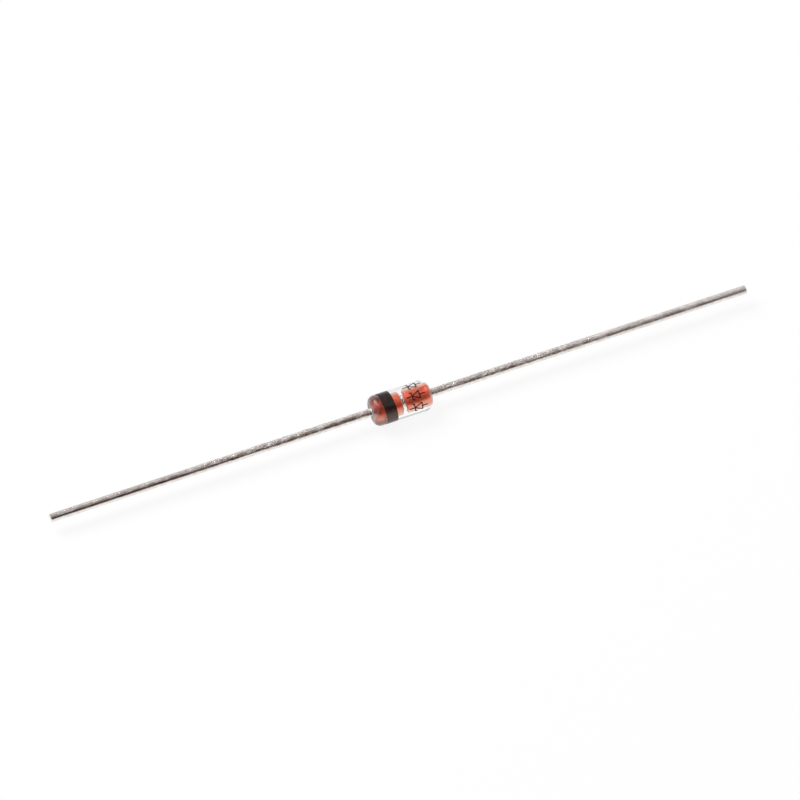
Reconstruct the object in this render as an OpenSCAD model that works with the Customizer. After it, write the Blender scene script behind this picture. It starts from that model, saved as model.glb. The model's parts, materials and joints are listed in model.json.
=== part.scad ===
// Axial zener diode in a glass body, of the double-stud kind.
// The axis lies along X, with the origin at the middle of the glass.
// The cathode end, which carries the band, points along -X. Sizes are in millimetres.

/* [Glass body] */
// Outside diameter of the glass
glass_d = 1.85; // [1.6:0.05:2.2]
// Length of the glass from end to end
glass_l = 3.7; // [3.2:0.1:5]
// Radius of the fire-polished shoulder at the cathode end
cathode_shoulder_r = 0.4; // [0.2:0.05:0.5]
// Radius of the fuller shoulder at the anode end, which sinks further in the furnace
anode_shoulder_r = 0.54; // [0.3:0.02:0.56]
// Radius of the lip inside each mouth
lip_r = 0.025; // [0.02:0.005:0.06]
// Diameter of the bore between the studs and in the mouths, where the glass closes over their edges
bore_d = 0.7; // [0.68:0.01:0.74]
// Depth of a mouth, from the end of the glass to the stud, with the stack in the middle
mouth_depth = 0.28; // [0.24:0.01:0.34]
// How far the sealed stack sits off the middle of the glass, towards the anode
seal_offset = 0.08; // [-0.1:0.01:0.1]

/* [Studs] */
// Diameter of the studs, and of the seats that the glass makes round them
stud_d = 0.9; // [0.8:0.05:1]
// Radius of the rolled edge round the face that grips the chip
face_edge_r = 0.14; // [0.04:0.01:0.22]
// Radius of the rolled edge at the root, where the lead is welded
root_edge_r = 0.12; // [0.04:0.01:0.22]

/* [Chip] */
// Side of the square silicon chip
chip_w = 0.26; // [0.2:0.02:0.36]
// Thickness of the chip
chip_t = 0.12; // [0.1:0.01:0.25]
// Diameter of the silver bump on the chip
bump_d = 0.18; // [0.12:0.02:0.2]
// Height of the bump, from the chip to the anode stud
bump_h = 0.05; // [0.03:0.01:0.06]

/* [Leads] */
// Diameter of the lead wire
lead_d = 0.52; // [0.44:0.02:0.56]
// Length of each lead outside the glass
lead_l = 20; // [10:0.5:38]
// Bevel round the cut end of a lead
cut_bevel = 0.03; // [0.01:0.01:0.1]
// Diameter of the weld bead between lead and stud
weld_d = 0.64; // [0.6:0.02:0.66]
// Length of the weld bead along the lead
weld_l = 0.26; // [0.24:0.01:0.3]

/* [Cathode band] */
// Width of the band along the glass
band_w = 0.7; // [0.4:0.05:1]
// Distance from the cathode end of the glass to the band
band_inset = 0.6; // [0.5:0.02:1]
// Thickness of the ink
ink_t = 0.012; // [0.008:0.002:0.04]

/* [Hidden] */
$fn = 96;

glass_r = glass_d / 2;
bore_r = bore_d / 2;
stud_r = stud_d / 2;
lead_r = lead_d / 2;
glass_end = glass_l / 2;
// A shoulder gives way where the wall is too thin for it and the lip
shoulder_room = glass_r - bore_r - lip_r;
cathode_shoulder = min(cathode_shoulder_r, shoulder_room);
anode_shoulder = min(anode_shoulder_r, shoulder_room);

// The stack, from the cathode to the anode
chip_gap = chip_t + bump_h;
stud_l = glass_end - mouth_depth - chip_gap / 2;
cathode_face = seal_offset - chip_gap / 2;
bump_base = cathode_face + chip_t;
anode_face = seal_offset + chip_gap / 2;
// Distance from the middle of the glass to the outer end of each stud
cathode_root = stud_l - cathode_face;
anode_root = stud_l + anode_face;
band_start = band_inset - glass_end;

// Turns a half section about X: the section's x is the radius, and its y the place along the axis
module turned() {
    rotate([0, 90, 0])
        rotate_extrude()
            children();
}

// Half section of a bar with rounded rims, from y = 0 to y = length, cut off at the axis
module round_bar_section(radius, length, near_rim, far_rim) {
    difference() {
        union() {
            square([radius - near_rim, length / 2]);
            translate([0, length / 2])
                square([radius - far_rim, length / 2]);
            translate([0, near_rim])
                square([radius, length - near_rim - far_rim]);
            translate([radius - near_rim, near_rim])
                circle(r = near_rim);
            translate([radius - far_rim, length - far_rim])
                circle(r = far_rim);
        }
        translate([-radius, 0])
            square([radius, length]);
    }
}

// Half section of a stud, from its face at y = 0 to its root
module stud_section() {
    round_bar_section(stud_r, stud_l, face_edge_r, root_edge_r);
}

// Puts a stud's half section in the cathode's place, facing +X
module at_cathode() {
    translate([0, cathode_face])
        mirror([0, 1])
            children();
}

// Puts a stud's half section in the anode's place, facing -X
module at_anode() {
    translate([0, anode_face])
        children();
}

// Half section of a glass mouth at y = 0: the bore opens out over the rounded lip
module mouth_section() {
    difference() {
        translate([0, -lip_r])
            square([bore_r + lip_r, 2 * lip_r]);
        translate([bore_r + lip_r, -lip_r])
            circle(r = lip_r);
    }
}

module glass_body() {
    color("azure", 0.35)
        turned()
            difference() {
                translate([0, -glass_end])
                    round_bar_section(glass_r, glass_l, cathode_shoulder, anode_shoulder);
                translate([0, -glass_l])
                    square([bore_r, 2 * glass_l]);
                for (end = [0, 1])
                    mirror([0, end])
                        translate([0, glass_end])
                            mouth_section();
                at_cathode()
                    stud_section();
                at_anode()
                    stud_section();
            }
}

module cathode_stud() {
    color("firebrick")
        turned()
            at_cathode()
                stud_section();
}

module anode_stud() {
    color("firebrick")
        turned()
            at_anode()
                stud_section();
}

module zener_chip() {
    color("slategray")
        translate([cathode_face, -chip_w / 2, -chip_w / 2])
            cube([chip_t, chip_w, chip_w]);
}

module contact_bump() {
    color("silver")
        translate([bump_base, 0, 0])
            rotate([0, 90, 0])
                cylinder(d = bump_d, h = bump_h);
}

// Half section of the weld bead, half-round outside, from y = 0 to y = weld_l
module bead_section() {
    bulge = weld_l / 2;
    square([weld_d / 2 - bulge, weld_l]);
    translate([weld_d / 2 - bulge, bulge])
        circle(r = bulge);
}

// A lead that runs along +X from the outer end of its stud, where the wire starts inside its bead
module lead(root) {
    wire_start = root + weld_l / 2;
    tip = glass_end + lead_l;
    color("lightslategray")
        turned() {
            polygon([
                [0, wire_start], [lead_r, wire_start], [lead_r, tip - cut_bevel],
                [lead_r - cut_bevel, tip], [0, tip]
            ]);
            translate([0, root])
                bead_section();
        }
}

module cathode_lead() {
    mirror([1, 0, 0])
        lead(cathode_root);
}

module anode_lead() {
    lead(anode_root);
}

module cathode_band() {
    color("black")
        turned()
            translate([glass_r, band_start])
                square([ink_t, band_w]);
}

glass_body();
cathode_stud();
anode_stud();
zener_chip();
contact_bump();
cathode_lead();
anode_lead();
cathode_band();
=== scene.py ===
# %% [markdown]
# # A glass zener diode
#
# The diode is a short clear glass sleeve, shrunk in a furnace onto two red studs that pinch a
# silicon chip between them. A black ring marks the cathode end, and a tinned wire leaves each end.
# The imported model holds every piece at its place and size, in plain facets and plain colours. This
# script gives the pieces fine meshes and their real finishes, in metres, in the same frame.

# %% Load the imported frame
import json
import math

import bmesh
import bpy
from mathutils import Matrix, Vector


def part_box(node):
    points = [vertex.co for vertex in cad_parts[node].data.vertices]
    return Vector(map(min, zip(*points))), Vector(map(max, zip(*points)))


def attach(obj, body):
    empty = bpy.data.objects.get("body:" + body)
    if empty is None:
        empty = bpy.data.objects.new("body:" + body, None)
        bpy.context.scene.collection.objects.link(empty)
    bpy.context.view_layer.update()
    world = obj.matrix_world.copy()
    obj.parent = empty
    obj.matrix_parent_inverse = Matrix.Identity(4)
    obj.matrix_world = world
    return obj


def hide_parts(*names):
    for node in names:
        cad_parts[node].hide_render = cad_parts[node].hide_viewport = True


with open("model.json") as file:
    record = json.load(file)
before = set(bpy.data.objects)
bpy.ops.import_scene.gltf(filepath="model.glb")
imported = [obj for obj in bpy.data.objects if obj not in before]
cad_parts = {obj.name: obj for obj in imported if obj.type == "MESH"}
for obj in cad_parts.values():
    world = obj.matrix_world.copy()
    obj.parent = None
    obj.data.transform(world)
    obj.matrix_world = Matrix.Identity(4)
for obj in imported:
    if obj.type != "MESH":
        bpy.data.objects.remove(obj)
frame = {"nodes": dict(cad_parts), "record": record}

scene = bpy.context.scene
MM = 0.001
MICRON = 0.000001
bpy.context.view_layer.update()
print("nodes:", sorted(frame["nodes"]))

# %% [markdown]
# ## Sizes that the frame gives
#
# Each turned piece is known by its two ends along X and its radius. Typed in again, they could
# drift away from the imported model, so both are read from the CAD node's box. A lead's box is as
# wide as its weld bead, so the wire's own radius comes from the record, where it is the size of the
# lead as a mount.

# %% Read ends and radii
def ends(node_name):
    low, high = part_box(node_name)
    return low.x, high.x


def radius(node_name):
    low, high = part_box(node_name)
    return max(high.y, high.z)


glass_r = radius("glass_body")
stud_r = radius("cathode_stud")
bead_r = radius("cathode_lead")
ink_r = radius("cathode_band")
wire_r = frame["record"]["mounts"][0]["dims"]["r_mm"] * MM
glass_start, glass_end = ends("glass_body")
glass_length = glass_end - glass_start
print(f"glass {2 * glass_r / MM:.2f} x {glass_length / MM:.2f} mm, wire {2 * wire_r / MM:.2f} mm")

# %% [markdown]
# ## Camera
#
# The part lies on a table and is seen from above, with its cathode end nearer. A camera can be set
# by eye, but here its angles are worked out: one from the slope of the leads in the picture, the
# other from how far the band's edges bow. A long lens at arm's length keeps the far lead nearly as
# thick as the near one, and the aim puts the middle of the glass on its own pixel.

# %% Place the camera
IMAGE_SIDE = 800
VIEW_AZIMUTH = math.radians(-21.9)
VIEW_ELEVATION = math.radians(55.0)
CAMERA_DISTANCE = 600 * MM
PIXELS_PER_METRE = 17.15 / MM
GLASS_PIXEL = (400.5, 402.83)
CLIP_SHARE = 0.01

to_camera = Vector((
    math.sin(VIEW_AZIMUTH) * math.cos(VIEW_ELEVATION),
    -math.cos(VIEW_AZIMUTH) * math.cos(VIEW_ELEVATION),
    math.sin(VIEW_ELEVATION),
))
camera_turn = to_camera.to_track_quat("Z", "Y")
image_right = camera_turn @ Vector((1, 0, 0))
image_up = camera_turn @ Vector((0, 1, 0))
aim = (
    image_right * (IMAGE_SIDE / 2 - GLASS_PIXEL[0]) + image_up * (GLASS_PIXEL[1] - IMAGE_SIDE / 2)
) / PIXELS_PER_METRE

camera_data = bpy.data.cameras.new("camera")
camera_data.lens = camera_data.sensor_width * PIXELS_PER_METRE * CAMERA_DISTANCE / IMAGE_SIDE
camera_data.clip_start = CAMERA_DISTANCE * CLIP_SHARE
camera = bpy.data.objects.new("camera", camera_data)
camera.matrix_world = Matrix.LocRotScale(aim + to_camera * CAMERA_DISTANCE, camera_turn, None)
scene.collection.objects.link(camera)
scene.camera = camera
print(f"lens {camera_data.lens:.1f} mm at {CAMERA_DISTANCE / MM:.0f} mm")

# %% [markdown]
# ## Node helpers
#
# Finishes and turned shapes are both made of nodes. Nodes can be placed by hand in the editor, but
# a script can be read, changed and run again. One helper adds a node, sets its options and feeds
# its inputs, each with a value or with another node's output. The others name the nodes that are
# used most. Where sockets share a name, a number picks one by its place: the Mix node keeps its
# colours at places 6 and 7, behind those for numbers and vectors.

# %% Add a node in one line
def add(tree, kind, inputs=None, **options):
    made = tree.nodes.new(kind)
    for name, value in options.items():
        setattr(made, name, value)
    for key, value in (inputs or {}).items():
        if isinstance(value, bpy.types.NodeSocket):
            tree.links.new(value, made.inputs[key])
        else:
            made.inputs[key].default_value = value
    return made


# %% Calculate and blend with nodes
def math_node(tree, operation, first, *others):
    result = first
    # An operation on one number has a second socket too, and ignores it
    for other in others or (0.0,):
        result = add(tree, "ShaderNodeMath", {0: result, 1: other}, operation=operation).outputs[0]
    return result


def dot(tree, place, direction):
    inputs = {0: place, 1: direction}
    return add(tree, "ShaderNodeVectorMath", inputs, operation="DOT_PRODUCT").outputs["Value"]


def ramp(tree, value, low, high, to_low=0.0, to_high=1.0):
    inputs = {"Value": value, "From Min": low, "From Max": high, "To Min": to_low, "To Max": to_high}
    return add(tree, "ShaderNodeMapRange", inputs, interpolation_type="SMOOTHSTEP").outputs[0]


def blend_colours(tree, share, under, over):
    return add(tree, "ShaderNodeMix", {0: share, 6: under, 7: over}, data_type="RGBA").outputs[2]


# %% [markdown]
# ## Light
#
# Metal shows its surroundings, so the room is half of a metal's look. Lamps alone would leave the
# wires black between a few sparks, so the part lies in a white tent: bright above, behind and
# below, and dim on the camera's own side. That dim side is the dark core that runs along each wire
# and stud. One lamp high at the back left makes the spark on the glass shoulder and the flecks
# along the wires. The camera itself sees plain white.

# %% Build the white tent
WHITE = (1, 1, 1, 1)
TENT_BRIGHT = (0.57, 0.57, 0.58, 1)
TENT_DIM = (0.08, 0.07, 0.064, 1)
DIM_CENTRE = Vector((0.10, -0.80, 0.585)).normalized()
DIM_INNER = math.radians(14)
DIM_OUTER = math.radians(34)

world = bpy.data.worlds.new("white_tent")
world.use_nodes = True
scene.world = world
tent = world.node_tree
tent.nodes.clear()
direction = add(tent, "ShaderNodeTexCoord").outputs["Generated"]
dimness = ramp(tent, dot(tent, direction, DIM_CENTRE), math.cos(DIM_OUTER), math.cos(DIM_INNER))
tent_colour = blend_colours(tent, dimness, TENT_BRIGHT, TENT_DIM)
tent_light = add(tent, "ShaderNodeBackground", {"Color": tent_colour}).outputs[0]
backdrop = add(tent, "ShaderNodeBackground", {"Color": WHITE}).outputs[0]
camera_ray = add(tent, "ShaderNodeLightPath").outputs["Is Camera Ray"]
tent_mix = add(tent, "ShaderNodeMixShader", {0: camera_ray, 1: tent_light, 2: backdrop}).outputs[0]
add(tent, "ShaderNodeOutputWorld", {"Surface": tent_mix})
scene.view_settings.view_transform = "Standard"
print("world:", world.name)

# %% Hang the lamp
LAMP_DIRECTION = Vector((-0.353, 0.56, 0.75)).normalized()
LAMP_DISTANCE = 320 * MM
LAMP_WIDTH = 190 * MM
LAMP_WATTS = 0.80

lamp_data = bpy.data.lights.new("back_lamp", "AREA")
lamp_data.shape = "DISK"
lamp_data.size = LAMP_WIDTH
lamp_data.energy = LAMP_WATTS
lamp = bpy.data.objects.new("back_lamp", lamp_data)
lamp.location = LAMP_DIRECTION * LAMP_DISTANCE
lamp.rotation_mode = "QUATERNION"
lamp.rotation_quaternion = LAMP_DIRECTION.to_track_quat("Z", "Y")
scene.collection.objects.link(lamp)
print("lamp at", [round(value / MM, 1) for value in lamp.location], "mm")

# %% [markdown]
# ## Table
#
# A white table in soft light renders as a pale grey. More light would bleach the part as well, so
# the table glows instead: it is white to the camera, and to what metal and glass reflect or let
# through. A share of plain matte white stays in it, so the part still drops a faint soft shadow.

# %% Lay the table
TABLE_SIDE = 600 * MM

half_side = TABLE_SIDE / 2
corners = [(x * half_side, y * half_side, -ink_r) for x, y in ((-1, -1), (1, -1), (1, 1), (-1, 1))]
table_mesh = bpy.data.meshes.new("table")
table_mesh.from_pydata(corners, [], [(0, 1, 2, 3)])
table = bpy.data.objects.new("table", table_mesh)
scene.collection.objects.link(table)
print(f"table {TABLE_SIDE / MM:.0f} mm square at z = {-ink_r / MM:.3f} mm")

# %% Whiten the table
TABLE_WHITE = (0.95, 0.95, 0.95, 1)
TABLE_GLOW = 0.88

white_card = bpy.data.materials.new("white_card")
white_card.use_nodes = True
card = white_card.node_tree
card.nodes.clear()
rays = add(card, "ShaderNodeLightPath").outputs
shown = math_node(card, "MAXIMUM", rays["Is Camera Ray"], rays["Is Transmission Ray"], rays["Is Glossy Ray"])
glow_share = math_node(card, "MULTIPLY", shown, TABLE_GLOW)
matte = add(card, "ShaderNodeBsdfDiffuse", {"Color": TABLE_WHITE}).outputs[0]
glow = add(card, "ShaderNodeEmission", {"Color": WHITE, "Strength": 1.0}).outputs[0]
card_mix = add(card, "ShaderNodeMixShader", {0: glow_share, 1: matte, 2: glow}).outputs[0]
add(card, "ShaderNodeOutputMaterial", {"Surface": card_mix})
table_mesh.materials.append(white_card)
print("finish:", white_card.name)

# %% [markdown]
# ## A shared finish: drawn metal
#
# The wire and the studs are both cut from wire that was drawn through a die, which leaves fine
# lines along its length, and plating or oxide leaves small pits. A picture of metal could be
# wrapped round them, but noise has no seam and stays sharp up close. It is placed by Object
# coordinates, so it keeps its size on every piece. Both materials use this group with their own
# scales. It gives masks and a height only, so the shaders stay in the materials.

# %% Find a place, and make noise there
def object_place(tree):
    return add(tree, "ShaderNodeTexCoord").outputs["Object"]


def stretch(tree, place, scale):
    return add(tree, "ShaderNodeVectorMath", {0: place, 1: scale}, operation="MULTIPLY").outputs["Vector"]


def noise(tree, place, scale, detail):
    return add(tree, "ShaderNodeTexNoise", {"Vector": place, "Scale": scale, "Detail": detail}).outputs[0]


# %% Start a tree with named sockets
def new_tree(kind, name, inputs, outputs):
    tree = bpy.data.node_groups.new(name, kind)
    for in_out, sockets in (("INPUT", inputs), ("OUTPUT", outputs)):
        for socket_name, value in sockets.items():
            tree.interface.new_socket(name=socket_name, in_out=in_out, socket_type=f"NodeSocket{value}")
    print(f"tree {name}: {len(inputs)} inputs, {len(outputs)} outputs")
    return tree, add(tree, "NodeGroupInput").outputs


# %% Build the drawn metal group
NOISE_SPAN = (0.3, 0.7)
BLOTCH_SPAN = (0.32, 0.68)
BLOTCH_SHARE = 0.16
PIT_EDGE = 0.12
LINE_HEIGHT = 0.35


def build_drawn_metal():
    inputs = dict.fromkeys(("Lines Along", "Lines Across", "Pit Scale", "Pit Level"), "Float")
    outputs = dict.fromkeys(("Lines", "Blotches", "Pits", "Height"), "Float")
    group, given = new_tree("ShaderNodeTree", "drawn_metal", inputs, outputs)
    place = object_place(group)
    line_scale = add(group, "ShaderNodeCombineXYZ", {
        0: given["Lines Along"], 1: given["Lines Across"], 2: given["Lines Across"],
    }).outputs[0]
    lines = noise(group, stretch(group, place, line_scale), scale=1.0, detail=3.0)
    lines = ramp(group, lines, *NOISE_SPAN)
    blotch_scale = math_node(group, "MULTIPLY", given["Pit Scale"], BLOTCH_SHARE)
    blotches = ramp(group, noise(group, place, blotch_scale, detail=3.0), *BLOTCH_SPAN)
    pits = noise(group, place, given["Pit Scale"], detail=2.0)
    pits = ramp(group, pits, given["Pit Level"], math_node(group, "ADD", given["Pit Level"], PIT_EDGE))
    height = math_node(group, "SUBTRACT", math_node(group, "MULTIPLY", lines, LINE_HEIGHT), pits)
    add(group, "NodeGroupOutput", {"Lines": lines, "Blotches": blotches, "Pits": pits, "Height": height})
    return group


drawn_metal = build_drawn_metal()

# %% [markdown]
# Every piece's material starts with one Principled shader, and ends when its colour, its blur and,
# where it has one, its height are plugged in. Only the glass has one plain colour instead. Blur is
# how rough the reflection is. The height only tilts the normals a little, because the larger
# unevenness is in the meshes.

# %% Start and finish a material
def new_material(name, **values):
    material = bpy.data.materials.new(name)
    material.use_nodes = True
    tree = material.node_tree
    tree.nodes.clear()
    shader = add(tree, "ShaderNodeBsdfPrincipled")
    for key, value in values.items():
        shader.inputs[key.replace("_", " ")].default_value = value
    add(tree, "ShaderNodeOutputMaterial", {"Surface": shader.outputs[0]})
    print("finish:", name)
    return material, tree, shader


def finish_material(tree, shader, colour, blur, height=None, depth=0.0, strength=1.0):
    tree.links.new(colour, shader.inputs["Base Color"])
    tree.links.new(blur, shader.inputs["Roughness"])
    if height is not None:
        bump = add(tree, "ShaderNodeBump", {"Height": height, "Distance": depth, "Strength": strength})
        tree.links.new(bump.outputs[0], shader.inputs["Normal"])


def drawn_metal_in(tree, along, across, pit_scale, pit_level):
    inputs = {"Lines Along": along, "Lines Across": across, "Pit Scale": pit_scale, "Pit Level": pit_level}
    return add(tree, "ShaderNodeGroup", inputs, node_tree=drawn_metal).outputs


# %% [markdown]
# ## Tinned wire
#
# The leads are drawn wire under a coat of tin: a warm grey metal, streaked along its length. Near
# the glass it is rough, pitted and tarnished, and further out it is smooth. On the lower front the
# molten tin sagged into an even skin. One grey would look like plastic, so masks mix several greys,
# and set the blur and the height too. Where the wire is rough is needed twice, in the finish here
# and in the mesh later, so two helpers that work in both kinds of tree say it. One looks along the
# wire. The other looks round it: the dot product of a place with the upper back, divided by the
# radius, runs from -1 at the lower front to 1.

# %% Say where the wire is rough
ROUGH_UNTIL = 9.5 * MM
SMOOTH_FROM = 13.5 * MM
FAR_ROUGHNESS = 0.16
UPPER_BACK = Vector((0.0, 0.84, 0.54))
ROUGH_SIDE = UPPER_BACK / wire_r
SAG_SPAN = (-0.60, -0.10)
SAG_ROUGHNESS = 0.1


def split(tree, place):
    return add(tree, "ShaderNodeSeparateXYZ", {0: place}).outputs


def rough_along(tree, place, smooth_from, rough_until):
    from_middle = math_node(tree, "ABSOLUTE", split(tree, place)["X"])
    return ramp(tree, from_middle, smooth_from, rough_until, FAR_ROUGHNESS, 1.0)


def rough_around(tree, place, rough_side):
    return ramp(tree, dot(tree, place, rough_side), *SAG_SPAN, SAG_ROUGHNESS, 1.0)


print(f"wire rough up to {ROUGH_UNTIL / MM} mm from the middle, smooth from {SMOOTH_FROM / MM} mm on")

# %% Make the wire's tin
TIN_PALE = (0.95, 0.91, 0.88, 1)
TIN_DULL = (0.80, 0.73, 0.69, 1)
TIN_PIT = (0.34, 0.27, 0.24, 1)

tinned_wire, wire_tree, wire_shader = new_material("tinned_wire", Metallic=1.0)
wire_marks = drawn_metal_in(wire_tree, along=4000.0, across=9000.0, pit_scale=9000.0, pit_level=0.55)
wire_place = object_place(wire_tree)
wire_along = split(wire_tree, wire_place)["X"]
from_middle = math_node(wire_tree, "ABSOLUTE", wire_along)
rough_by_length = rough_along(wire_tree, wire_place, SMOOTH_FROM, ROUGH_UNTIL)
rough_by_side = rough_around(wire_tree, wire_place, ROUGH_SIDE)
rough_here = math_node(wire_tree, "MULTIPLY", rough_by_length, rough_by_side)
tin_pits = math_node(wire_tree, "MULTIPLY", wire_marks["Pits"], rough_here)
tin_colour = blend_colours(wire_tree, wire_marks["Lines"], TIN_DULL, TIN_PALE)
tin_colour = blend_colours(wire_tree, tin_pits, tin_colour, TIN_PIT)

# %% [markdown]
# Tarnish lies in brown grains, thick beside the glass, where the wire was hottest, and thinner
# towards the tips. The cathode's wire has more of it than the anode's. The same mask is partly
# painted shade: it shows only where the surface faces the eye, which deepens the dark core along
# the wire, and gives way to a plain mirror at a slant, so the wire keeps its pale edges.

# %% Tarnish the wire, and paint shade where it faces the eye
# Brown for the tarnished grains, and for the painted shade on the wire's front
TIN_TARNISH_AND_SHADE = (0.32, 0.235, 0.195, 1)
GRAIN_SCALE = (1700.0, 4400.0, 4400.0)
GRAIN_SPAN = (0.40, 0.56)
LEAST_FAR, LEAST_NEAR = 0.35, 0.1
LEAST_BY_GLASS = 0.7
HOT_SPAN = (3.6 * MM, 2.4 * MM)
FACING_SHADE_SPAN = (0.30, 0.02)
CATHODE_TARNISH, ANODE_TARNISH = 0.88, 0.66
TIP_TARNISH = 0.76
TIP_PLACE = 21 * MM


def slant_of(tree):
    return add(tree, "ShaderNodeLayerWeight", {"Blend": 0.5}).outputs["Facing"]


grain = noise(wire_tree, stretch(wire_tree, wire_place, GRAIN_SCALE), scale=1.0, detail=3.0)
least_tarnish = math_node(
    wire_tree, "ADD",
    ramp(wire_tree, rough_by_length, FAR_ROUGHNESS, 1.0, LEAST_FAR, LEAST_NEAR),
    ramp(wire_tree, from_middle, *HOT_SPAN, 0.0, LEAST_BY_GLASS),
)
# Tarnished grains, times painted shade where the wire faces the eye
tarnish_and_shade = math_node(
    wire_tree, "MULTIPLY",
    ramp(wire_tree, grain, *GRAIN_SPAN, least_tarnish, 1.0),
    ramp(wire_tree, slant_of(wire_tree), *FACING_SHADE_SPAN),
    ramp(wire_tree, wire_along, -MM, MM, CATHODE_TARNISH, ANODE_TARNISH),
    ramp(wire_tree, from_middle, SMOOTH_FROM, TIP_PLACE, 1.0, TIP_TARNISH),
)
tin_colour = blend_colours(wire_tree, tarnish_and_shade, tin_colour, TIN_TARNISH_AND_SHADE)
print(f"tarnish up to {CATHODE_TARNISH} on the cathode's wire, {ANODE_TARNISH} on the anode's")

# %% Finish the wire and its bead
TIN_BEAD = (0.97, 0.94, 0.92, 1)
BEAD_OUT, BEAD_IN = 50 * MICRON, 10 * MICRON
BEAD_BLUR = 0.4
TIN_BLUR = (0.14, 0.28)
ANODE_BLUR = 0.16
ANODE_BLUR_PLACE = 14 * MM
TIN_HEIGHT = 16 * MICRON

in_seal = ramp(wire_tree, from_middle, glass_end + BEAD_OUT, glass_end - BEAD_IN)
tin_colour = blend_colours(wire_tree, in_seal, tin_colour, TIN_BEAD)
tin_blur = math_node(
    wire_tree, "ADD",
    ramp(wire_tree, wire_marks["Blotches"], 0.0, 1.0, *TIN_BLUR),
    math_node(wire_tree, "MULTIPLY", in_seal, BEAD_BLUR),
    ramp(wire_tree, wire_along, glass_end + BEAD_OUT, ANODE_BLUR_PLACE, 0.0, ANODE_BLUR),
)
tin_height = math_node(wire_tree, "MULTIPLY", wire_marks["Height"], rough_here)
finish_material(wire_tree, wire_shader, tin_colour, tin_blur, tin_height, TIN_HEIGHT)
print(f"bead finish within {(glass_end + BEAD_OUT) / MM:.2f} mm of the middle")

# %% [markdown]
# ## Red studs
#
# The studs are copper-sheathed, and the furnace leaves a red oxide on the copper that the glass
# grips. Red paint would look dead here, because the oxide is a metal seen through its own skin. So
# it is a metallic shader with a red colour: brick red and bright red in blotches, and salmon where
# it is seen at a slant, a painted sheen, with the drawing lines still in it.

# %% Make the studs' oxide
OXIDE_BRICK = (0.93, 0.115, 0.04, 1)
OXIDE_RED = (0.98, 0.145, 0.06, 1)
SALMON_PAINTED_SHEEN = (0.99, 0.26, 0.15, 1)
OXIDE_SPOT = (0.30, 0.06, 0.04, 1)
SALMON_SLANT = (0.02, 0.35)

red_oxide, stud_tree, stud_shader = new_material("red_oxide", Metallic=0.8)
stud_marks = drawn_metal_in(stud_tree, along=700.0, across=9000.0, pit_scale=9000.0, pit_level=0.7)
stud_place = object_place(stud_tree)
stud_along = split(stud_tree, stud_place)["X"]
stud_back = dot(stud_tree, stud_place, UPPER_BACK / stud_r)
stud_slant = slant_of(stud_tree)
oxide = blend_colours(stud_tree, stud_marks["Blotches"], OXIDE_BRICK, OXIDE_RED)
# Painted sheen: salmon where the stud is seen at a slant
oxide = blend_colours(stud_tree, ramp(stud_tree, stud_slant, *SALMON_SLANT), oxide, SALMON_PAINTED_SHEEN)
oxide = blend_colours(stud_tree, stud_marks["Pits"], oxide, OXIDE_SPOT)

# %% [markdown]
# No two sides of a stud have the same red, and most of the difference is painted light. The lower
# front is paler, a painted reflection of the white table, and so is what is seen at a steep slant,
# a painted sheen. The anode's root is a deeper red at the back, painted shade over the lamp's glow.
# The cathode's root is partly scorched by the furnace and partly painted shade: darkest at the back
# and round its rim, where the lamp's highlight would fall, and pale at the lower front, a painted
# reflection of the table. Painting each by hand would tie it to one mesh. Here each is a mask along
# the axis or round it, and lays one more colour over the last.

# %% Paint the table's reflection on the lower front, and a sheen on the steep slants
PAINTED_TABLE_REFLECTION = (0.99, 0.365, 0.245, 1)
PAINTED_GRAZING_SHEEN = (0.99, 0.60, 0.51, 1)
PALE_FRONT = (-0.25, -0.85)
GRAZED_SLANT = (0.26, 0.56)

# Painted reflection of the table on the lower front, then painted sheen at steep slants
oxide = blend_colours(stud_tree, ramp(stud_tree, stud_back, *PALE_FRONT), oxide, PAINTED_TABLE_REFLECTION)
oxide = blend_colours(stud_tree, ramp(stud_tree, stud_slant, *GRAZED_SLANT), oxide, PAINTED_GRAZING_SHEEN)
print(f"oxide paler from {PALE_FRONT[0]} to {PALE_FRONT[1]} round the axis")

# %% Paint shade on the back of the anode's root, over the lamp's glow
ANODE_ROOT_PAINTED_SHADE = (0.76, 0.105, 0.05, 1)
DEEP_START, DEEP_FULL = 0.55 * MM, 0.25 * MM
DEEP_BACK = (0.25, 0.5)
DEEP_TOP = (0.95, 0.75)

anode_face, anode_root = ends("anode_stud")
# Painted shade: a deeper red at the back of the anode's root, where the lamp's glow falls
painted_root_shade = math_node(
    stud_tree, "MULTIPLY",
    ramp(stud_tree, stud_along, anode_root - DEEP_START, anode_root - DEEP_FULL),
    ramp(stud_tree, stud_back, *DEEP_BACK),
    ramp(stud_tree, stud_back, *DEEP_TOP),
)
oxide = blend_colours(stud_tree, painted_root_shade, oxide, ANODE_ROOT_PAINTED_SHADE)
print(f"anode stud from {anode_face / MM:.3f} to {anode_root / MM:.3f} mm")

# %% Scorch the cathode's root, and paint shade and the table's reflection on it
OXIDE_SCORCHED = (0.82, 0.118, 0.058, 1)
SCORCH_PAINTED_SHADE = (0.36, 0.052, 0.026, 1)
SCORCH_PAINTED_REFLECTION = (0.99, 0.36, 0.25, 1)
SCORCH_START, SCORCH_FULL = 0.54 * MM, 0.19 * MM
DARK_BACK = (-0.35, 0.25)
DARK_RIM_START, DARK_RIM_FULL = 0.18 * MM, 0.06 * MM
SCORCH_FRONT = (-0.35, -0.9)

cathode_root, cathode_face = ends("cathode_stud")
# Darker scorched red, darkest at the back: painted shade where the lamp's highlight would fall
scorch_and_shade = blend_colours(stud_tree, ramp(stud_tree, stud_back, *DARK_BACK), OXIDE_SCORCHED, SCORCH_PAINTED_SHADE)
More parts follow.
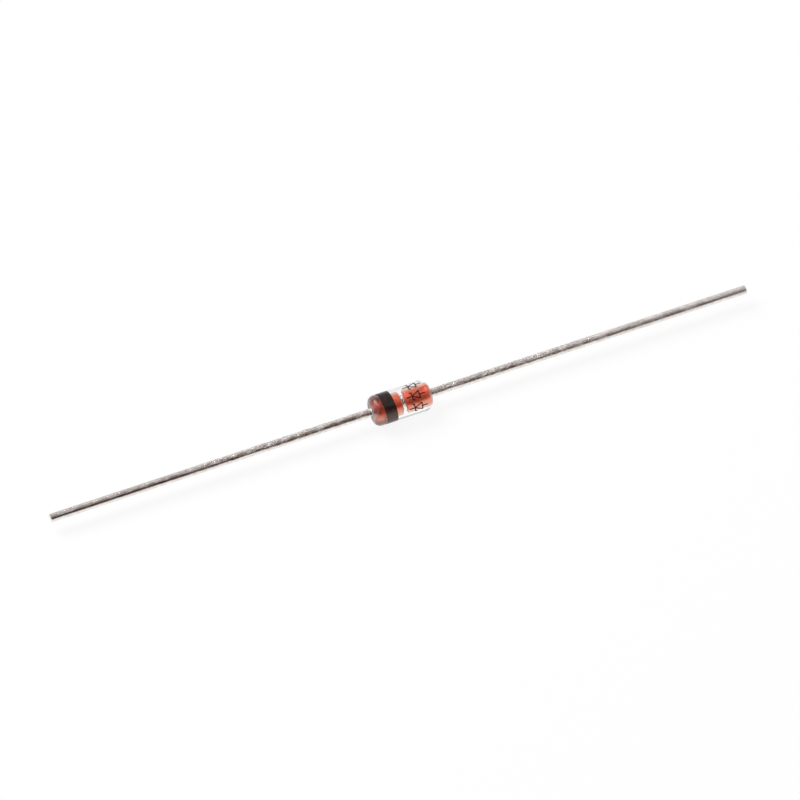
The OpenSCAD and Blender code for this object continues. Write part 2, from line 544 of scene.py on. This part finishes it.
# Darkest round the rim as well: painted shade
painted_rim_shade = ramp(stud_tree, stud_along, cathode_root + DARK_RIM_START, cathode_root + DARK_RIM_FULL)
scorch_and_shade = blend_colours(stud_tree, painted_rim_shade, scorch_and_shade, SCORCH_PAINTED_SHADE)
# Paler at the lower front: a painted reflection of the table
scorch_and_shade = blend_colours(stud_tree, ramp(stud_tree, stud_back, *SCORCH_FRONT), scorch_and_shade, SCORCH_PAINTED_REFLECTION)
scorch_and_shade_zone = ramp(stud_tree, stud_along, cathode_root + SCORCH_START, cathode_root + SCORCH_FULL)
oxide = blend_colours(stud_tree, scorch_and_shade_zone, oxide, scorch_and_shade)
print(f"cathode stud from {cathode_root / MM:.3f} to {cathode_face / MM:.3f} mm")

# %% [markdown]
# Round the anode's root edge the red is paler. The cathode's root face, inside the mouth of the
# glass, is a darker red: painted shade inside the mouth. The two faces that pinch the chip touch no
# glass, so they keep bare copper.
# The lower front is glossier than the rest, apart from where it is scorched.

# %% Colour the ends of the studs
ROOT_EDGE_PALE = (0.97, 0.40, 0.30, 1)
PALE_EDGE_START, PALE_EDGE_FULL = 0.10 * MM, 0.01 * MM
ROOT_FACE_PAINTED_SHADE = (0.66, 0.095, 0.05, 1)
ROOT_START, ROOT_FULL = 8 * MICRON, 2 * MICRON
BARE_COPPER = (0.95, 0.7, 0.62, 1)
BARE_EDGE = 15 * MICRON

pale_root_edge = ramp(stud_tree, stud_along, anode_root - PALE_EDGE_START, anode_root - PALE_EDGE_FULL)
oxide = blend_colours(stud_tree, pale_root_edge, oxide, ROOT_EDGE_PALE)
# Painted shade: a darker red on the cathode's root face, inside the mouth
root_face = ramp(stud_tree, stud_along, cathode_root + ROOT_START, cathode_root + ROOT_FULL)
oxide = blend_colours(stud_tree, root_face, oxide, ROOT_FACE_PAINTED_SHADE)
gap_half = (anode_face - cathode_face) / 2
gap_middle = cathode_face + gap_half
from_gap = math_node(stud_tree, "ABSOLUTE", math_node(stud_tree, "SUBTRACT", stud_along, gap_middle))
bare_face = ramp(stud_tree, from_gap, gap_half + BARE_EDGE, gap_half)
oxide = blend_colours(stud_tree, bare_face, oxide, BARE_COPPER)
print(f"gap of {2 * gap_half / MM:.3f} mm between the bare faces")

# %% Finish the studs
OXIDE_BLUR = (0.45, 0.53)
SCORCH_BLUR = 0.02
GLOSS_FRONT = (0.0, -0.5)
FRONT_GLOSS = 0.18
OXIDE_HEIGHT = 2 * MICRON

unscorched = math_node(stud_tree, "SUBTRACT", 1.0, scorch_and_shade_zone)
front_gloss = ramp(stud_tree, stud_back, *GLOSS_FRONT, 0.0, FRONT_GLOSS)
front_gloss = math_node(stud_tree, "MULTIPLY", unscorched, front_gloss)
oxide_blur = math_node(
    stud_tree, "ADD",
    ramp(stud_tree, stud_marks["Lines"], 0.0, 1.0, *OXIDE_BLUR),
    math_node(stud_tree, "MULTIPLY", scorch_and_shade_zone, SCORCH_BLUR),
)
oxide_blur = math_node(stud_tree, "SUBTRACT", oxide_blur, front_gloss)
finish_material(stud_tree, stud_shader, oxide, oxide_blur, stud_marks["Height"], OXIDE_HEIGHT)
print(f"oxide blur {OXIDE_BLUR[0]} to {OXIDE_BLUR[1]}, less {FRONT_GLOSS} on the lower front")

# %% [markdown]
# ## Glass
#
# Clear glass is a Principled shader with full transmission. Perfect glass would be too clean: this
# sleeve was melted onto the studs, so its skin is satin at both shoulders, more at the cathode's,
# matt in the mouths, and faintly smeared elsewhere. All of that is blur. The colour stays nearly
# white, because a wall this thin has no tint that shows.

# %% Make the glass
GLASS_INDEX = 1.54
GLASS_COLOUR = (0.985, 0.99, 0.985, 1)
SMEAR_SCALE = 2200.0
SMEAR_SPAN = (0.5, 0.75)
SMEAR_BLUR = 0.05

clear_glass, glass_tree, glass_shader = new_material(
    "clear_glass", Transmission_Weight=1.0, IOR=GLASS_INDEX, Base_Color=GLASS_COLOUR,
)
glass_place = object_place(glass_tree)
glass_along = split(glass_tree, glass_place)["X"]
smears = noise(glass_tree, glass_place, SMEAR_SCALE, detail=4.0)
smears = ramp(glass_tree, smears, *SMEAR_SPAN, 0.0, SMEAR_BLUR)

# %% Make the ends of the glass satin
CATHODE_SATIN, ANODE_SATIN, MOUTH_SATIN = 0.30, 0.12, 0.2
CATHODE_SATIN_START, CATHODE_SATIN_FULL = 0.65 * MM, 0.05 * MM
ANODE_SATIN_START = 0.5 * MM
MOUTH_START, MOUTH_FULL = 0.55 * MM, 0.45 * MM
BORE_OUT, BORE_IN = 10 * MICRON, 50 * MICRON

cathode_satin = ramp(
    glass_tree, glass_along, glass_start + CATHODE_SATIN_START, glass_start + CATHODE_SATIN_FULL,
    0.0, CATHODE_SATIN,
)
anode_satin = ramp(glass_tree, glass_along, glass_end - ANODE_SATIN_START, glass_end, 0.0, ANODE_SATIN)
across = stretch(glass_tree, glass_place, (0.0, 1.0, 1.0))
off_axis = add(glass_tree, "ShaderNodeVectorMath", {0: across}, operation="LENGTH").outputs["Value"]
from_glass_middle = math_node(glass_tree, "ABSOLUTE", glass_along)
mouth_satin = math_node(
    glass_tree, "MULTIPLY",
    ramp(glass_tree, off_axis, stud_r + BORE_OUT, stud_r - BORE_IN),
    ramp(glass_tree, from_glass_middle, glass_end - MOUTH_START, glass_end - MOUTH_FULL),
    MOUTH_SATIN,
)
glass_blur = math_node(glass_tree, "ADD", smears, cathode_satin, anode_satin, mouth_satin)
glass_tree.links.new(glass_blur, glass_shader.inputs["Roughness"])
print(f"glass blur up to {CATHODE_SATIN} at the cathode, {ANODE_SATIN} at the anode")

# %% [markdown]
# ## Ink
#
# The band is a coat of black gloss ink. Ink that is all one black would lose its roundness, so it
# is mottled, painted paler at the front as a painted reflection of the table, and grey where its
# gloss mirrors the table. Its underside, seen through the glass from the end, is painted a pale grey:
# painted light, for what shows there through the glass. A second material could colour it, but a
# mask does it with one: the underside is where the normal points at the axis.

# %% Make the band's ink
INK_INDEX = 1.38
INK_DEEP = (0.018, 0.010, 0.009, 1)
INK_WORN = (0.030, 0.017, 0.015, 1)
INK_PAINTED_REFLECTION = (0.125, 0.075, 0.06, 1)
INK_SCALE = 6000.0
WORN_SPAN = (0.35, 0.7)
FRONT = (0.0, -1.0, 0.0)
PAINTED_REFLECTION_FRONT = (0.65, 1.0)

black_ink, ink_tree, ink_shader = new_material("black_ink", IOR=INK_INDEX)
ink_place = object_place(ink_tree)
ink_noise = noise(ink_tree, ink_place, INK_SCALE, detail=3.0)
ink_radial = stretch(ink_tree, ink_place, (0.0, 1 / glass_r, 1 / glass_r))
ink_front = dot(ink_tree, ink_radial, FRONT)
ink_colour = blend_colours(ink_tree, ramp(ink_tree, ink_noise, *WORN_SPAN), INK_DEEP, INK_WORN)
# Painted reflection of the table: the band is paler on its front
ink_colour = blend_colours(ink_tree, ramp(ink_tree, ink_front, *PAINTED_REFLECTION_FRONT), ink_colour, INK_PAINTED_REFLECTION)

# %% Finish the band's ink
# Painted light: a pale grey on the band's underside, for what shows there through the glass
INK_UNDERSIDE = (0.60, 0.50, 0.47, 1)
INK_UNDERSIDE_PALE = (0.62, 0.56, 0.54, 1)
UNDERSIDE_NEAR, UNDERSIDE_FAR = 0.07 * MM, 0.35 * MM
INWARD = (-0.3, -0.7)
INK_BLUR = (0.12, 0.22)
INK_HEIGHT = 2 * MICRON
INK_STRENGTH = 0.5

band_start, band_end = ends("cathode_band")
ink_along = split(ink_tree, ink_place)["X"]
deep_in = ramp(ink_tree, ink_along, band_start + UNDERSIDE_NEAR, band_start + UNDERSIDE_FAR)
underside = blend_colours(ink_tree, deep_in, INK_UNDERSIDE, INK_UNDERSIDE_PALE)
ink_normal = add(ink_tree, "ShaderNodeNewGeometry").outputs["True Normal"]
is_underside = ramp(ink_tree, dot(ink_tree, ink_normal, ink_radial), *INWARD)
ink_colour = blend_colours(ink_tree, is_underside, ink_colour, underside)
ink_blur = ramp(ink_tree, ink_noise, *NOISE_SPAN, *INK_BLUR)
finish_material(ink_tree, ink_shader, ink_colour, ink_blur, ink_noise, INK_HEIGHT, INK_STRENGTH)
print(f"band from {band_start / MM:.2f} to {band_end / MM:.2f} mm")

# %% [markdown]
# ## Print, silicon and silver
#
# Three small things are left: the print on the glass, in a thin brownish ink, the sawn chip and its
# plated bump. Plain colours would nearly do at their size. One fine noise that speckles both colour
# and blur costs little more and holds up in a close view, so one function does that for all three.

# %% Make the print, the chip's silicon and the bump's silver
PRINT_INDEX = 1.3


def speckled(tree, shader, scale, detail, dark, pale, blur, sharp=False):
    specks = noise(tree, object_place(tree), scale, detail)
    share = ramp(tree, specks, *NOISE_SPAN) if sharp else specks
    colour = blend_colours(tree, share, dark, pale)
    finish_material(tree, shader, colour, ramp(tree, specks, *NOISE_SPAN, *blur))


print_ink, print_tree, print_shader = new_material("print_ink", IOR=PRINT_INDEX)
speckled(print_tree, print_shader, scale=20000.0, detail=2.0,
         dark=(0.012, 0.004, 0.003, 1), pale=(0.06, 0.013, 0.007, 1), blur=(0.45, 0.65))

silicon, silicon_tree, silicon_shader = new_material("sawn_silicon", Metallic=0.6)
speckled(silicon_tree, silicon_shader, scale=16000.0, detail=3.0, sharp=True,
         dark=(0.13, 0.07, 0.075, 1), pale=(0.26, 0.16, 0.16, 1), blur=(0.3, 0.5))

plated_silver, silver_tree, silver_shader = new_material("plated_silver", Metallic=1.0)
speckled(silver_tree, silver_shader, scale=30000.0, detail=2.0,
         dark=(0.80, 0.78, 0.75, 1), pale=(0.93, 0.92, 0.90, 1), blur=(0.25, 0.45))

# %% [markdown]
# ## Turning a piece by rule
#
# Glass, studs, band, bump and leads are all turned about one axis. They could be spun one by one,
# but a Geometry Nodes tree holds the rule once, as a lathe does. It sweeps a half section round a
# circle too small to see, closes the poles and lays the result along X. Noise along the normals
# then takes the machine look off the wires, and a crease keeps cut edges sharp.

# %% Sweep a half section
AXLE_RADIUS = 0.1 * MICRON
POLE_MERGE = 0.5 * MICRON
LAY_ALONG_X = (0.0, -math.pi / 2, 0.0)


def sweep_section(tree, given):
    section = add(tree, "GeometryNodeMeshToCurve", {"Mesh": given["Half Section"]}).outputs[0]
    axle = add(tree, "GeometryNodeCurvePrimitiveCircle", {
        "Resolution": given["Segments"], "Radius": AXLE_RADIUS,
    }).outputs[0]
    swept = add(tree, "GeometryNodeCurveToMesh", {"Curve": axle, "Profile Curve": section}).outputs[0]
    laid = add(tree, "GeometryNodeTransform", {"Geometry": swept, "Rotation": LAY_ALONG_X}).outputs[0]
    return add(tree, "GeometryNodeMergeByDistance", {"Geometry": laid, "Distance": POLE_MERGE}).outputs[0]


# %% Roughen a surface
NOISE_MIDDLE = 0.5
PIT_SPAN = (0.58, 0.70)


def seeded_noise(tree, place, scale, seed):
    inputs = {"Vector": place, "W": seed, "Scale": scale, "Detail": 2.0}
    return add(tree, "ShaderNodeTexNoise", inputs, noise_dimensions="4D").outputs[0]


def roughen(tree, given, shape):
    place = add(tree, "GeometryNodeInputPosition").outputs[0]
    wave = seeded_noise(tree, stretch(tree, place, given["Wave Scale"]), scale=1.0, seed=given["Seed"])
    wave = math_node(tree, "MULTIPLY", math_node(tree, "SUBTRACT", wave, NOISE_MIDDLE), given["Wave Height"])
    pit = seeded_noise(tree, place, given["Pit Scale"], given["Seed"])
    pit = math_node(tree, "MULTIPLY", ramp(tree, pit, *PIT_SPAN), given["Pit Depth"])
    height = math_node(
        tree, "MULTIPLY",
        math_node(tree, "SUBTRACT", wave, pit),
        rough_along(tree, place, given["Smooth From"], given["Rough Until"]),
        rough_around(tree, place, given["Rough Side"]),
    )
    outward = add(tree, "GeometryNodeInputNormal").outputs[0]
    shift = add(tree, "ShaderNodeVectorMath", {0: outward, "Scale": height}, operation="SCALE")
    moved = {"Geometry": shape, "Offset": shift.outputs["Vector"]}
    return add(tree, "GeometryNodeSetPosition", moved).outputs[0]


# %% Crease the edges and end a tree
CREASE_ANGLE = math.radians(35)


def crease(tree, shape):
    angle = add(tree, "GeometryNodeInputMeshEdgeAngle").outputs["Unsigned Angle"]
    compared = {0: angle, 1: CREASE_ANGLE}
    sharp = add(tree, "FunctionNodeCompare", compared, operation="GREATER_THAN").outputs[0]
    smooth = add(tree, "GeometryNodeSetShadeSmooth", {"Geometry": shape, "Shade Smooth": True}).outputs[0]
    return add(tree, "GeometryNodeSetShadeSmooth", {
        "Geometry": smooth, "Selection": sharp, "Shade Smooth": False,
    }, domain="EDGE").outputs[0]


def end_tree(tree, shape, finish):
    real = add(tree, "GeometryNodeRealizeInstances", {"Geometry": shape}).outputs[0]
    finished = add(tree, "GeometryNodeSetMaterial", {"Geometry": real, "Material": finish}).outputs[0]
    add(tree, "NodeGroupOutput", {0: finished})
    return tree


# %% Build the lathe tree
def build_lathe():
    tree, given = new_tree("GeometryNodeTree", "lathe", {
        "Half Section": "Geometry", "Segments": "Int",
        "Wave Height": "Float", "Wave Scale": "Vector", "Pit Depth": "Float", "Pit Scale": "Float",
        "Rough Until": "Float", "Smooth From": "Float", "Rough Side": "Vector",
        "Seed": "Float", "Finish": "Material",
    }, {"Turned Piece": "Geometry"})
    shape = crease(tree, roughen(tree, given, sweep_section(tree, given)))
    return end_tree(tree, shape, given["Finish"])


lathe = build_lathe()

# %% [markdown]
# A tree's result has to become a plain mesh before the piece is handed to the frame. The bake
# below does that for any tree. It sets each input by its identifier, because names can repeat.
# Open edges are counted after it, because a turned piece has to be closed.

# %% Run a tree and keep its mesh
def bake(piece, tree, **values):
    modifier = piece.modifiers.new(tree.name, "NODES")
    modifier.node_group = tree
    for item in tree.interface.items_tree:
        name = item.name.replace(" ", "_").lower()
        if item.in_out == "INPUT" and name in values:
            modifier[item.identifier] = values[name]
    bpy.context.view_layer.update()
    graph = bpy.context.evaluated_depsgraph_get()
    mesh = bpy.data.meshes.new_from_object(piece.evaluated_get(graph))
    piece.modifiers.clear()
    drawing = piece.data
    piece.data = mesh
    bpy.data.meshes.remove(drawing)
    mesh.name = piece.name


def check_closed(piece):
    shell = bmesh.new()
    shell.from_mesh(piece.data)
    open_edges = sum(not edge.is_manifold for edge in shell.edges)
    triangles = sum(len(face.verts) - 2 for face in shell.faces)
    volume = shell.calc_volume(signed=True) / MM ** 3
    shell.free()
    print(f"{piece.name}: {triangles} triangles, {open_edges} open edges, {volume:.4f} mm3")


# %% Turn a half section
EVEN_SURFACE = dict(
    wave_height=0.0, wave_scale=(1.0, 1.0, 1.0), pit_depth=0.0, pit_scale=1.0,
    rough_until=ROUGH_UNTIL, smooth_from=SMOOTH_FROM, rough_side=(0.0, 0.0, 0.0), seed=0.0,
)


def drawing_object(name, points, edges):
    mesh = bpy.data.meshes.new(name)
    mesh.from_pydata(points, edges, [])
    piece = bpy.data.objects.new(name, mesh)
    scene.collection.objects.link(piece)
    return piece


def turn(name, section, finish, ring=False, segments=128, **unevenness):
    points = [(r, x, 0.0) for r, x in section]
    edges = [(i, i + 1) for i in range(len(points) - 1)]
    if ring:
        edges.append((len(points) - 1, 0))
    piece = drawing_object(name, points, edges)
    surface = {**EVEN_SURFACE, **unevenness}
    bake(piece, lathe, segments=segments, finish=finish, **surface)
    check_closed(piece)
    return piece


# %% Draw arcs, and hand a piece over
def arc(centre, arc_r, start, end, steps=16):
    angles = [math.radians(start + (end - start) * step / steps) for step in range(steps + 1)]
    return [(centre[0] + arc_r * math.cos(a), centre[1] + arc_r * math.sin(a)) for a in angles]


def hand_over(piece, slot, *nodes):
    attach(piece, "root")
    if nodes:
        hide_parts(*nodes)


# %% [markdown]
# ## The glass body
#
# The section is one closed loop of radius and place along X: a fire-polished shoulder and a small
# lip at each end, and the bore between them, which widens into a seat for each stud. A seat is two
# arcs that follow the stud's rolled edges. Glass that only touched the studs would leave a film of
# air, which shines, so the seats are a hair tighter than the studs. A ray inside the glass then
# meets the red metal directly, as in a real seal.

# %% Shape the seats and shoulders
BORE_R = 0.35 * MM
ROOT_EDGE_R = 0.12 * MM
FACE_EDGE_R = 0.14 * MM
SEAL_DEPTH = 4 * MICRON
SEAT_STEPS = 12
SHOULDER_STEPS = 24


def seat(start, end, start_edge_r, end_edge_r):
    points = []
    for place, edge_r, side in ((end, end_edge_r, 1), (start, start_edge_r, -1)):
        centre = (stud_r - edge_r, place - side * edge_r)
        seat_r = edge_r - SEAL_DEPTH
        mouth = math.degrees(math.acos((BORE_R - centre[0]) / seat_r))
        first, last = (mouth, 0) if side == 1 else (0, -mouth)
        points += arc(centre, seat_r, first, last, SEAT_STEPS)
    return points


def shoulder(place, shoulder_r, first):
    return arc((glass_r - shoulder_r, place), shoulder_r, first, first + 90, SHOULDER_STEPS)


print(f"seats {SEAL_DEPTH / MICRON:.0f} microns tighter than the studs")

# %% Turn the glass
CATHODE_SHOULDER_R = 0.40 * MM
ANODE_SHOULDER_R = 0.54 * MM
LIP_R = 0.025 * MM
LIP_STEPS = 8
GLASS_SEGMENTS = 192

lip_centre = BORE_R + LIP_R
glass_section = (
    arc((lip_centre, glass_start + LIP_R), LIP_R, 180, 270, LIP_STEPS)
    + shoulder(glass_start + CATHODE_SHOULDER_R, CATHODE_SHOULDER_R, 270)
    + shoulder(glass_end - ANODE_SHOULDER_R, ANODE_SHOULDER_R, 0)
    + arc((lip_centre, glass_end - LIP_R), LIP_R, 90, 180, LIP_STEPS)
    + seat(anode_face, anode_root, FACE_EDGE_R, ROOT_EDGE_R)
    + seat(cathode_root, cathode_face, ROOT_EDGE_R, FACE_EDGE_R)
)
glass = turn("glass", glass_section, clear_glass, ring=True, segments=GLASS_SEGMENTS)
hand_over(glass, "glass", "glass_body")

# %% [markdown]
# ## The studs, the bump and the chip
#
# A stud is a short pin with rolled edges. The two are the same form in two places, so one function
# draws both sections, and the flat silver bump's too. The chip is sawn, not turned: a box with a
# fine bevel is all it is, and a few lines of bmesh make it.

# %% Turn the studs and the bump
BUMP_EDGE_SHARE = 1 / 3
BUMP_SEGMENTS = 48


def pin_section(start, end, pin_r, start_edge_r, end_edge_r):
    return (
        [(0.0, start)]
        + arc((pin_r - start_edge_r, start + start_edge_r), start_edge_r, 270, 360)
        + arc((pin_r - end_edge_r, end - end_edge_r), end_edge_r, 0, 90)
        + [(0.0, end)]
    )


cathode_section = pin_section(cathode_root, cathode_face, stud_r, ROOT_EDGE_R, FACE_EDGE_R)
cathode_pin = turn("cathode_pin", cathode_section, red_oxide)
hand_over(cathode_pin, "stud_copper", "cathode_stud")
anode_section = pin_section(anode_face, anode_root, stud_r, FACE_EDGE_R, ROOT_EDGE_R)
anode_pin = turn("anode_pin", anode_section, red_oxide)
hand_over(anode_pin, "stud_copper", "anode_stud")

bump_start, bump_end = ends("contact_bump")
bump_edge_r = (bump_end - bump_start) * BUMP_EDGE_SHARE
bump_section = pin_section(bump_start, bump_end, radius("contact_bump"), bump_edge_r, bump_edge_r)
bump = turn("silver_bump", bump_section, plated_silver, segments=BUMP_SEGMENTS)
hand_over(bump, "silver", "contact_bump")

# %% Saw the chip
SAW_BEVEL = 8 * MICRON
SAW_BEVEL_STEPS = 2

chip_low, chip_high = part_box("zener_chip")
chip_place = Matrix.LocRotScale((chip_low + chip_high) / 2, None, chip_high - chip_low)
chip_shell = bmesh.new()
bmesh.ops.create_cube(chip_shell, size=1.0, matrix=chip_place)
bmesh.ops.bevel(
    chip_shell, geom=chip_shell.edges[:], offset=SAW_BEVEL, segments=SAW_BEVEL_STEPS,
    affect="EDGES", profile=0.5,
)
chip_mesh = bpy.data.meshes.new("chip")
chip_shell.to_mesh(chip_mesh)
chip_shell.free()
chip_mesh.materials.append(silicon)
chip = bpy.data.objects.new("chip", chip_mesh)
scene.collection.objects.link(chip)
check_closed(chip)
hand_over(chip, "silicon", "zener_chip")

# %% [markdown]
# ## The leads
#
# Each lead is one length of wire with a round weld bead at its root and a bevel where it was cut. A
# cylinder would do for a far view, but the real wire is uneven. So the section is stepped finely
# along the wire, and the lathe's noise waves and pits it. Each lead has a seed of its own, so that
# the two aren't alike.

# %% Draw a lead's section
BEAD_LENGTH = 0.26 * MM
BEAD_STEPS = 10
CUT_BEVEL = 0.03 * MM
WIRE_STEP = 0.04 * MM


def lead_section(root, tip):
    bulge = BEAD_LENGTH / 2
    bead_turn = math.acos((wire_r - bead_r + bulge) / bulge)
    wire_start = root + bulge * (1 + math.sin(bead_turn)) + WIRE_STEP
    wire_end = tip - CUT_BEVEL
    steps = round((wire_end - wire_start) / WIRE_STEP)
    wire = [(wire_r, wire_start + (wire_end - wire_start) * i / steps) for i in range(steps + 1)]
    bead = arc((bead_r - bulge, root + bulge), bulge, -90, math.degrees(bead_turn), BEAD_STEPS)
    return [(0.0, root)] + bead + wire + [(wire_r - CUT_BEVEL, tip), (0.0, tip)]


def mirrored(section):
    return [(r, -x) for r, x in reversed(section)]


# %% Turn the leads
UNEVEN_WIRE = dict(
    segments=56, wave_height=60 * MICRON, wave_scale=(2200.0, 3800.0, 3800.0),
    pit_depth=10 * MICRON, pit_scale=9000.0, rough_side=tuple(ROUGH_SIDE),
)

cathode_tip, cathode_weld = ends("cathode_lead")
cathode_line = mirrored(lead_section(-cathode_weld, -cathode_tip))
cathode_wire = turn("cathode_wire", cathode_line, tinned_wire, seed=1.0, **UNEVEN_WIRE)
hand_over(cathode_wire, "tinned_wire", "cathode_lead")
anode_weld, anode_tip = ends("anode_lead")
anode_wire = turn("anode_wire", lead_section(anode_weld, anode_tip), tinned_wire, seed=2.0, **UNEVEN_WIRE)
hand_over(anode_wire, "tinned_wire", "anode_lead")

# %% [markdown]
# ## The cathode band
#
# Ink lies on the glass with no air under it. A ring that only touched the glass would flicker
# between the two surfaces, so its inner face dips just below the glass. The wheel that rolled the
# ink on sat a little askew, so the ring leans by about three degrees.

# %% Turn the band
BAND_LEAN = 0.058 * MM
INK_EDGE_STEPS = 4

ink_edge_r = (ink_r - glass_r) / 2
ink_edge_centre = ink_r - ink_edge_r
band_section = (
    [(glass_r - SEAL_DEPTH, band_start)]
    + arc((ink_edge_centre, band_start + ink_edge_r), ink_edge_r, 270, 360, INK_EDGE_STEPS)
    + arc((ink_edge_centre, band_end - ink_edge_r), ink_edge_r, 0, 90, INK_EDGE_STEPS)
    + [(glass_r - SEAL_DEPTH, band_end)]
)
band = turn("band", band_section, black_ink, ring=True, segments=GLASS_SEGMENTS)
for corner in band.data.vertices:
    corner.co.x -= BAND_LEAN * corner.co.y / glass_r
hand_over(band, "black_ink", "cathode_band")

# %% [markdown]
# ## The printed mark
#
# Such a part carries a few lines of print along the glass. Here the print is the circuit symbol of
# a zener diode, in three lines. An image on the glass would blur in close views, so the strokes are
# real ink. They are drawn flat, and a Geometry Nodes tree gives them width and thickness, rolls
# them round the glass and repeats the line.

# %% Draw the strokes and roll them on
STROKE_STEP = 20 * MICRON


def draw_strokes(tree, given):
    path = add(tree, "GeometryNodeMeshToCurve", {"Mesh": given["Strokes"]}).outputs[0]
    stepped = {"Curve": path, "Length": STROKE_STEP}
    fine = add(tree, "GeometryNodeResampleCurve", stepped, mode="LENGTH").outputs[0]
    level = add(tree, "GeometryNodeSetCurveNormal", {"Curve": fine}, mode="Z_UP").outputs[0]
    nib = add(tree, "GeometryNodeCurvePrimitiveQuadrilateral", {
        "Width": given["Stroke Width"], "Height": given["Ink Thickness"],
    }).outputs[0]
    inked = {"Curve": level, "Profile Curve": nib, "Fill Caps": True}
    return add(tree, "GeometryNodeCurveToMesh", inked).outputs[0]


def roll_on(tree, given, strokes):
    flat = split(tree, add(tree, "GeometryNodeInputPosition").outputs[0])
    half_ink = math_node(tree, "MULTIPLY", given["Ink Thickness"], 0.5)
    lift = math_node(tree, "SUBTRACT", math_node(tree, "ADD", flat["Z"], half_ink), given["Sink"])
    out = math_node(tree, "ADD", given["Glass Radius"], lift)
    turned_by = math_node(tree, "DIVIDE", flat["Y"], given["Glass Radius"])
    rolled = add(tree, "ShaderNodeCombineXYZ", {
        0: flat["X"],
        1: math_node(tree, "MULTIPLY", out, math_node(tree, "SINE", turned_by)),
        2: math_node(tree, "MULTIPLY", out, math_node(tree, "COSINE", turned_by)),
    }).outputs[0]
    return add(tree, "GeometryNodeSetPosition", {"Geometry": strokes, "Position": rolled}).outputs[0]


# %% Build the print tree
def repeat_lines(tree, given, line):
    places = add(tree, "GeometryNodePoints", {"Count": given["Lines"]}).outputs[0]
    line_number = add(tree, "GeometryNodeInputIndex").outputs[0]
    angle = math_node(tree, "MULTIPLY", line_number, given["Line Turn"])
    angle = math_node(tree, "ADD", angle, given["First Turn"])
    spin = add(tree, "ShaderNodeCombineXYZ", {0: angle}).outputs[0]
    return add(tree, "GeometryNodeInstanceOnPoints", {
        "Points": places, "Instance": line, "Rotation": spin,
    }).outputs[0]


def build_print():
    tree, given = new_tree("GeometryNodeTree", "glass_print", {
        "Strokes": "Geometry", "Glass Radius": "Float", "Stroke Width": "Float", "Ink Thickness": "Float",
        "Sink": "Float", "First Turn": "Float", "Line Turn": "Float", "Lines": "Int", "Finish": "Material",
    }, {"Print": "Geometry"})
    line = roll_on(tree, given, draw_strokes(tree, given))
    return end_tree(tree, repeat_lines(tree, given, line), given["Finish"])


glass_print = build_print()

# %% Draw the symbol
SYMBOL_START, SYMBOL_END = 0.22 * MM, 1.38 * MM
BAR_PLACE = 0.58 * MM
ARROW_LENGTH = 0.46 * MM
ARROW_HALF = 0.235 * MM
FLAG = 0.12 * MM

arrow_tip = BAR_PLACE
arrow_base = BAR_PLACE + ARROW_LENGTH
symbol = [
    ((SYMBOL_START, 0), (arrow_tip, 0)),
    ((arrow_base, 0), (SYMBOL_END, 0)),
    ((arrow_tip, 0), (arrow_base, ARROW_HALF)),
    ((arrow_base, ARROW_HALF), (arrow_base, -ARROW_HALF)),
    ((arrow_base, -ARROW_HALF), (arrow_tip, 0)),
    ((arrow_tip, -ARROW_HALF), (arrow_tip, ARROW_HALF)),
    ((arrow_tip, ARROW_HALF), (arrow_tip - FLAG, ARROW_HALF)),
    ((arrow_tip, -ARROW_HALF), (arrow_tip + FLAG, -ARROW_HALF)),
]
symbol_points = [(x, y, 0.0) for stroke in symbol for x, y in stroke]
symbol_edges = [(2 * i, 2 * i + 1) for i in range(len(symbol))]
printed_mark = drawing_object("printed_mark", symbol_points, symbol_edges)
print(f"symbol of {len(symbol)} strokes")

# %% Print the symbol
STROKE_WIDTH = 0.07 * MM
PRINT_THICKNESS = 9 * MICRON
FIRST_TURN = math.radians(-21)
LINE_TURN = math.radians(45)
LINES = 3

bake(
    printed_mark, glass_print, glass_radius=glass_r, stroke_width=STROKE_WIDTH,
    ink_thickness=PRINT_THICKNESS, sink=SEAL_DEPTH, first_turn=FIRST_TURN, line_turn=LINE_TURN,
    lines=LINES, finish=print_ink,
)
check_closed(printed_mark)
hand_over(printed_mark, "black_ink")
